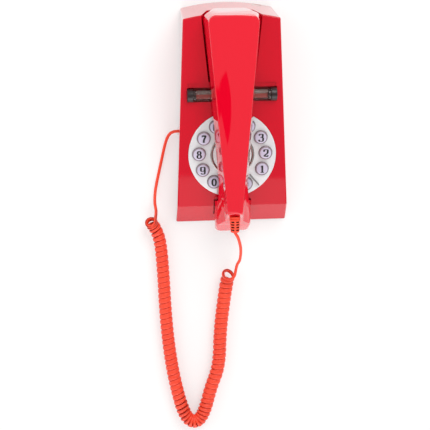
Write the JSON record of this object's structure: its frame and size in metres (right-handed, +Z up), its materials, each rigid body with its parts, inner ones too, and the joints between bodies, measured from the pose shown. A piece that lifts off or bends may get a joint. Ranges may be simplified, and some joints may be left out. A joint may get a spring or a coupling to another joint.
{
  "type": "push-button telephone",
  "caption": "Red wedge-shaped desk or wall telephone with its push buttons set in a ring like a dial, a tapered handset lying over them and a curly cord.",
  "frame": {"origin": "middle of the telephone's outline without its cord, at the bottom of its feet", "axes": "+Z up from the desk, +Y towards the rear where the line socket is, +X to the right of someone dialling"},
  "size_m": [0.1432, 0.4319, 0.0951],
  "materials": {
    "red_plastic": "gloss",
    "black_plastic": "matte",
    "foot_rubber": "matte",
    "screw_steel": "satin",
    "dial_chrome": "mirror",
    "ring_metal": "satin",
    "card_paper": "matte",
    "stop_steel": "satin",
    "key_plastic": "gloss",
    "mat_rubber": "matte",
    "board_laminate": "satin",
    "smoked_clear": "clear",
    "smoked_dark": "gloss",
    "weight_iron": "raw",
    "white_plastic": "satin",
    "cord_vinyl": "satin",
    "plug_clear": "clear"
  },
  "bodies": {
    "base": {"top_housing": "red_plastic", "base_plate": "black_plastic", "rubber_feet": "foot_rubber", "base_screws": "screw_steel", "dial_plate": "dial_chrome", "centre_ring": "ring_metal", "centre_card": "card_paper", "finger_stop": "stop_steel", "keypad_mat": "mat_rubber", "keypad_board": "board_laminate", "keypad_screws": "screw_steel", "number_window": "smoked_clear", "window_caps": "smoked_dark", "number_card": "card_paper", "main_board": "board_laminate", "board_screws": "screw_steel", "ringer": "black_plastic", "ballast_weight": "weight_iron", "handset_jack": "white_plastic", "line_jack": "white_plastic", "hook_switch": "black_plastic", "cord_plug": "plug_clear", "cord_left": "cord_vinyl", "cord_coil": "cord_vinyl", "cord_right": "cord_vinyl"},
    "handset": {"handset_cover": "red_plastic", "handset_inner": "red_plastic", "handset_screws": "screw_steel", "receiver_capsule": "black_plastic", "microphone_capsule": "black_plastic", "handset_weight": "weight_iron", "strain_relief": "cord_vinyl"},
    "hook_plunger": {"hook_plunger": "white_plastic"},
    "button_1": {"button_1": "key_plastic"},
    "button_2": {"button_2": "key_plastic"},
    "button_3": {"button_3": "key_plastic"},
    "button_4": {"button_4": "key_plastic"},
    "button_5": {"button_5": "key_plastic"},
    "button_6": {"button_6": "key_plastic"},
    "button_7": {"button_7": "key_plastic"},
    "button_8": {"button_8": "key_plastic"},
    "button_9": {"button_9": "key_plastic"},
    "button_0": {"button_0": "key_plastic"},
    "button_star": {"button_star": "key_plastic"},
    "button_hash": {"button_hash": "key_plastic"}
  },
  "joints": [
    {"name": "handset_lift", "type": "slide", "parent": "base", "child": "handset", "axis": [0, 0, 1], "range_m": [0, 0.12]},
    {"name": "hook_travel", "type": "slide", "parent": "base", "child": "hook_plunger", "axis": [0, 0, 1], "range_m": [0, 0.004]},
    {"name": "press_1", "type": "slide", "parent": "base", "child": "button_1", "axis": [0, 0.2385, -0.9711], "range_m": [0, 0.002], "stiffness_N_per_m": 150, "springref_m": -0.002},
    {"name": "press_2", "type": "slide", "parent": "base", "child": "button_2", "axis": [0, 0.2385, -0.9711], "range_m": [0, 0.002], "stiffness_N_per_m": 150, "springref_m": -0.002},
    {"name": "press_3", "type": "slide", "parent": "base", "child": "button_3", "axis": [0, 0.2385, -0.9711], "range_m": [0, 0.002], "stiffness_N_per_m": 150, "springref_m": -0.002},
    {"name": "press_4", "type": "slide", "parent": "base", "child": "button_4", "axis": [0, 0.2385, -0.9711], "range_m": [0, 0.002], "stiffness_N_per_m": 150, "springref_m": -0.002},
    {"name": "press_5", "type": "slide", "parent": "base", "child": "button_5", "axis": [0, 0.2385, -0.9711], "range_m": [0, 0.002], "stiffness_N_per_m": 150, "springref_m": -0.002},
    {"name": "press_6", "type": "slide", "parent": "base", "child": "button_6", "axis": [0, 0.2385, -0.9711], "range_m": [0, 0.002], "stiffness_N_per_m": 150, "springref_m": -0.002},
    {"name": "press_7", "type": "slide", "parent": "base", "child": "button_7", "axis": [0, 0.2385, -0.9711], "range_m": [0, 0.002], "stiffness_N_per_m": 150, "springref_m": -0.002},
    {"name": "press_8", "type": "slide", "parent": "base", "child": "button_8", "axis": [0, 0.2385, -0.9711], "range_m": [0, 0.002], "stiffness_N_per_m": 150, "springref_m": -0.002},
    {"name": "press_9", "type": "slide", "parent": "base", "child": "button_9", "axis": [0, 0.2385, -0.9711], "range_m": [0, 0.002], "stiffness_N_per_m": 150, "springref_m": -0.002},
    {"name": "press_0", "type": "slide", "parent": "base", "child": "button_0", "axis": [0, 0.2385, -0.9711], "range_m": [0, 0.002], "stiffness_N_per_m": 150, "springref_m": -0.002},
    {"name": "press_star", "type": "slide", "parent": "base", "child": "button_star", "axis": [0, 0.2385, -0.9711], "range_m": [0, 0.002], "stiffness_N_per_m": 150, "springref_m": -0.002},
    {"name": "press_hash", "type": "slide", "parent": "base", "child": "button_hash", "axis": [0, 0.2385, -0.9711], "range_m": [0, 0.002], "stiffness_N_per_m": 150, "springref_m": -0.002}
  ],
  "couplings": [
    {"joint": "hook_travel", "follows": "handset_lift", "ratio": 0.0333}
  ]
}
